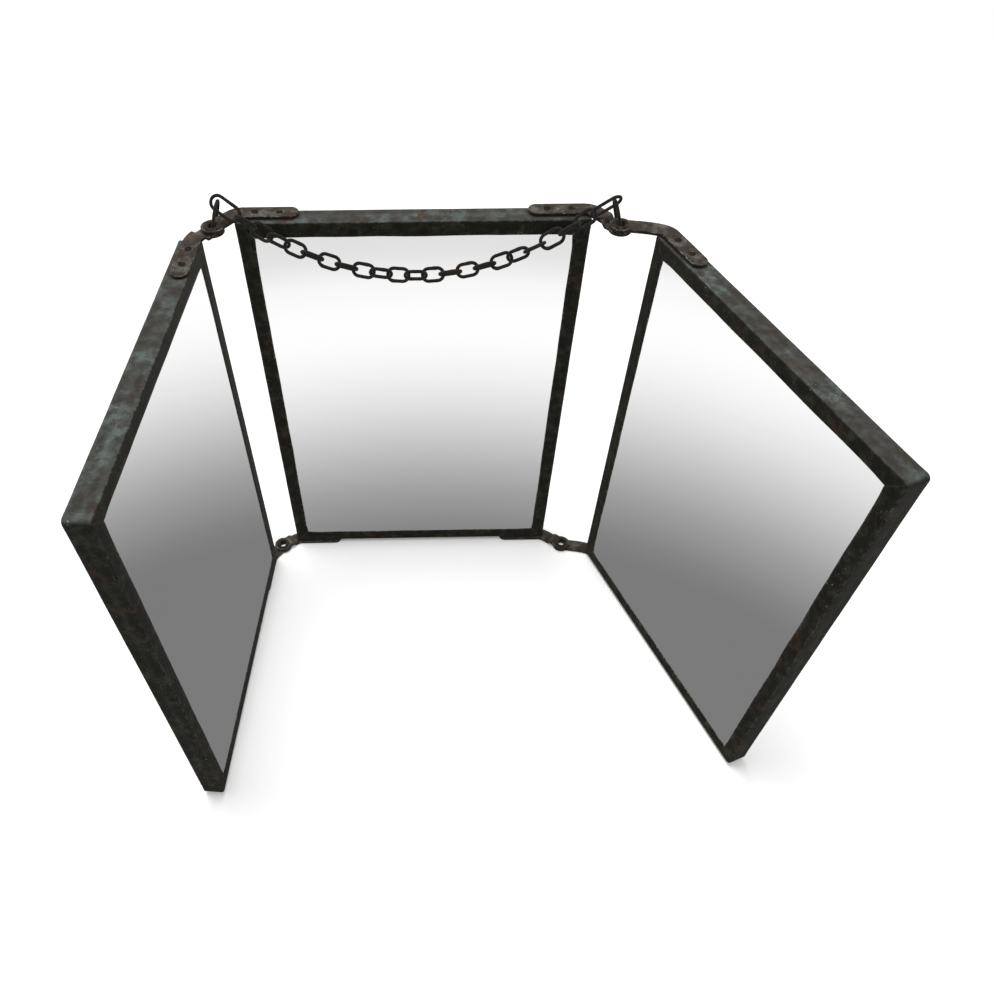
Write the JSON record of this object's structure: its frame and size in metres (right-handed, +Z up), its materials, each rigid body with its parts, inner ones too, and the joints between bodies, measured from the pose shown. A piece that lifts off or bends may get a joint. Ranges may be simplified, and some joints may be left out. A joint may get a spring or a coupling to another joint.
{
  "type": "trifold vanity mirror",
  "caption": "Trifold mirror in thin folded metal frames, joined by riveted strap hinges at top and bottom, with a hanging chain strung between the top hinge eyelets.",
  "frame": {"origin": "floor point straight under the middle of the centre panel's front face", "axes": "+X to the viewer's right along the centre panel, +Y out of the centre panel's back, +Z up"},
  "size_m": [0.412, 0.2567, 0.3418],
  "materials": {
    "frame_metal": "dull, patinated",
    "strap_metal": "worn, oxidised",
    "rivet_metal": "oxidised",
    "eyelet_metal": "oxidised",
    "chain_wire": "blackened",
    "mirror_glass": "polished",
    "liner_paper": "matt",
    "backing_board": "plain",
    "back_sheet": "dull, patinated"
  },
  "bodies": {
    "centre": {"centre_frame": "frame_metal", "centre_glass": "mirror_glass", "centre_liner": "liner_paper", "centre_board": "backing_board", "centre_back": "back_sheet", "centre_strap_top_left": "strap_metal", "centre_strap_top_right": "strap_metal", "centre_strap_bottom_left": "strap_metal", "centre_strap_bottom_right": "strap_metal", "centre_rivets": "rivet_metal", "eyelet_top_left": "eyelet_metal", "eyelet_top_right": "eyelet_metal", "eyelet_bottom_left": "eyelet_metal", "eyelet_bottom_right": "eyelet_metal", "end_link_left": "chain_wire", "end_link_right": "chain_wire"},
    "left": {"left_frame": "frame_metal", "left_glass": "mirror_glass", "left_liner": "liner_paper", "left_board": "backing_board", "left_back": "back_sheet", "left_strap_top": "strap_metal", "left_strap_bottom": "strap_metal", "left_rivets": "rivet_metal"},
    "right": {"right_frame": "frame_metal", "right_glass": "mirror_glass", "right_liner": "liner_paper", "right_board": "backing_board", "right_back": "back_sheet", "right_strap_top": "strap_metal", "right_strap_bottom": "strap_metal", "right_rivets": "rivet_metal"},
    "chain": {"chain_hook_links": "chain_wire", "chain_large_link": "chain_wire", "chain_small_links": "chain_wire"}
  },
  "joints": [
    {"name": "left_fold", "type": "hinge", "parent": "centre", "child": "left", "pos_m": [-0.125, -0.0055, 0.16275], "axis": [0, 0, 1], "range_deg": [-84.8, 95.2]},
    {"name": "right_fold", "type": "hinge", "parent": "centre", "child": "right", "pos_m": [0.1285, -0.009, 0.16275], "axis": [0, 0, -1], "range_deg": [-68, 112]},
    {"name": "chain_swing", "type": "hinge", "parent": "centre", "child": "chain", "pos_m": [-0.12201, 0.00021, 0.3314], "axis": [-0.9999, 0.0141, 0], "range_deg": [0, 85]}
  ]
}
